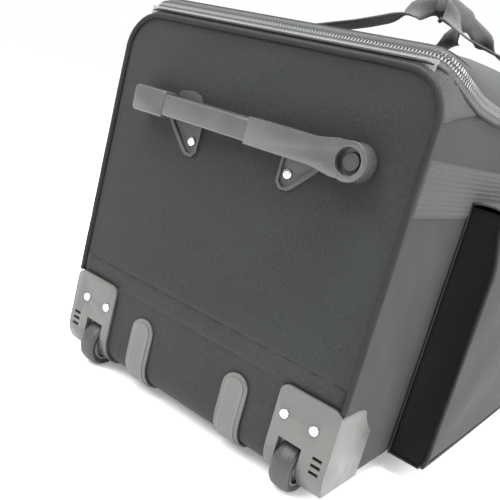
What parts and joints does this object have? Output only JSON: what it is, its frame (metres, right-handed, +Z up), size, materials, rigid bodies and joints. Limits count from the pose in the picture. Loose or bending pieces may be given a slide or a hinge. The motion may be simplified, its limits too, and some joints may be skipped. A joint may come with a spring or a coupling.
{
  "type": "rolling equipment case",
  "caption": "Long soft-sided rolling case with a hinged lid, side pocket, carry handles, corner wheels and a folding tow arm on the wheel end.",
  "frame": {"origin": "on the floor under the centre of the whole object's box", "axes": "+X across the wheel end towards the pocket side, +Y along the case away from the wheels, +Z up"},
  "size_m": [0.4162, 0.8356, 0.53],
  "materials": {
    "shell_fabric": "heavy woven nylon, matt",
    "band_fabric": "coated nylon, matt",
    "lining": "brushed lining over foam",
    "board": "pressed sheet",
    "piping": "tight woven tape",
    "webbing": "ribbed nylon webbing",
    "zip": "woven tape with moulded coil",
    "guard": "fine moulded texture",
    "arm": "satin",
    "bracket": "satin",
    "hub": "satin",
    "tyre": "matt",
    "rubber": "matt",
    "steel": "brushed",
    "zinc": "dark plated"
  },
  "bodies": {
    "case": {"end_panel_upper": "shell_fabric", "end_panel_lower": "band_fabric", "end_panel_far": "shell_fabric", "rim_near": "shell_fabric", "rim_far": "shell_fabric", "side_panel_left": "shell_fabric", "side_panel_right": "shell_fabric", "bottom_panel": "shell_fabric", "base_board": "board", "foam_near": "lining", "foam_far": "lining", "foam_left": "lining", "foam_right": "lining", "foam_bottom": "lining", "divider_near": "lining", "divider_far": "lining", "piping_near": "piping", "piping_far": "piping", "zip_lower": "zip", "side_webbing_left": "webbing", "side_webbing_right": "webbing", "pocket_body": "shell_fabric", "pocket_piping": "piping", "wheel_housing_left": "guard", "wheel_housing_right": "guard", "axle_left": "steel", "axle_right": "steel", "housing_rivets": "steel", "kick_strip_left": "guard", "kick_strip_right": "guard", "foot_left": "rubber", "foot_right": "rubber", "far_grab_handle": "webbing", "tow_base": "bracket", "tow_backing_plate": "steel", "tow_rivets": "steel"},
    "lid": {"lid_panel": "shell_fabric", "lid_foam": "lining", "zip_upper": "zip"},
    "pocket_cover": {"pocket_flap": "shell_fabric"},
    "wheel_left": {"tyre_left": "tyre", "hub_left": "hub", "bearing_left": "steel"},
    "wheel_right": {"tyre_right": "tyre", "hub_right": "hub", "bearing_right": "steel"},
    "tow_arm": {"tow_arm_housing": "arm"},
    "tow_extension": {"tow_tube": "arm", "tow_grip": "arm"},
    "release_button": {"tow_button": "arm", "tow_spring": "steel"},
    "slider_near": {"zip_slider_near": "zinc"},
    "slider_far": {"zip_slider_far": "zinc"},
    "pull_near": {"zip_pull_near": "zinc"},
    "pull_far": {"zip_pull_far": "zinc"},
    "handle_left": {"handle_strap_left": "webbing"},
    "handle_right": {"handle_strap_right": "webbing", "grip_wrap": "webbing"}
  },
  "joints": [
    {"name": "lid_hinge", "type": "hinge", "parent": "case", "child": "lid", "pos_m": [-0.19965, -0.00425, 0.38415], "axis": [0, -1, 0], "range_deg": [0, 100], "deforming": ["handle_strap_left", "handle_strap_right", "grip_wrap"]},
    {"name": "pocket_flap_hinge", "type": "hinge", "parent": "case", "child": "pocket_cover", "pos_m": [0.16335, -0.00425, 0.3025], "axis": [0, -1, 0], "range_deg": [0, 65]},
    {"name": "wheel_left_spin", "type": "hinge", "parent": "case", "child": "wheel_left", "pos_m": [-0.15865, -0.37775, 0.0265], "axis": [1, 0, 0], "continuous": true},
    {"name": "wheel_right_spin", "type": "hinge", "parent": "case", "child": "wheel_right", "pos_m": [0.12035, -0.37775, 0.0265], "axis": [1, 0, 0], "continuous": true},
    {"name": "tow_arm_swing", "type": "hinge", "parent": "case", "child": "tow_arm", "pos_m": [0.10685, -0.40625, 0.312], "axis": [0, 1, 0], "range_deg": [0, 90]},
    {"name": "tow_grip_slide", "type": "slide", "parent": "tow_arm", "child": "tow_extension", "axis": [-1, 0, 0], "range_m": [0, 0.06]},
    {"name": "tow_button_press", "type": "slide", "parent": "tow_arm", "child": "release_button", "axis": [0, 1, 0], "range_m": [0, 0.003], "stiffness_N_per_m": 400, "springref_m": -0.002, "deforming": ["tow_spring"]},
    {"name": "zip_slider_near_slide", "type": "slide", "parent": "case", "child": "slider_near", "axis": [0, 1, 0], "range_m": [-0.34, 0]},
    {"name": "zip_slider_far_slide", "type": "slide", "parent": "case", "child": "slider_far", "axis": [0, 1, 0], "range_m": [0, 0.34]},
    {"name": "zip_pull_near_swing", "type": "hinge", "parent": "slider_near", "child": "pull_near", "pos_m": [0.16725, -0.01425, 0.384], "axis": [0, -1, 0], "range_deg": [0, 120]},
    {"name": "zip_pull_far_swing", "type": "hinge", "parent": "slider_far", "child": "pull_far", "pos_m": [0.16725, 0.00575, 0.384], "axis": [0, -1, 0], "range_deg": [0, 120]},
    {"name": "handle_left_swing", "type": "hinge", "parent": "case", "child": "handle_left", "pos_m": [-0.20295, -0.00425, 0.332], "axis": [0, -1, 0], "range_deg": [0, 166]},
    {"name": "handle_right_swing", "type": "hinge", "parent": "case", "child": "handle_right", "pos_m": [0.16465, -0.00425, 0.332], "axis": [0, 1, 0], "range_deg": [0, 166]}
  ],
  "couplings": [
    {"joint": "handle_left_swing", "follows": "lid_hinge", "ratio": 1.65},
    {"joint": "handle_right_swing", "follows": "lid_hinge", "ratio": 1.65}
  ]
}
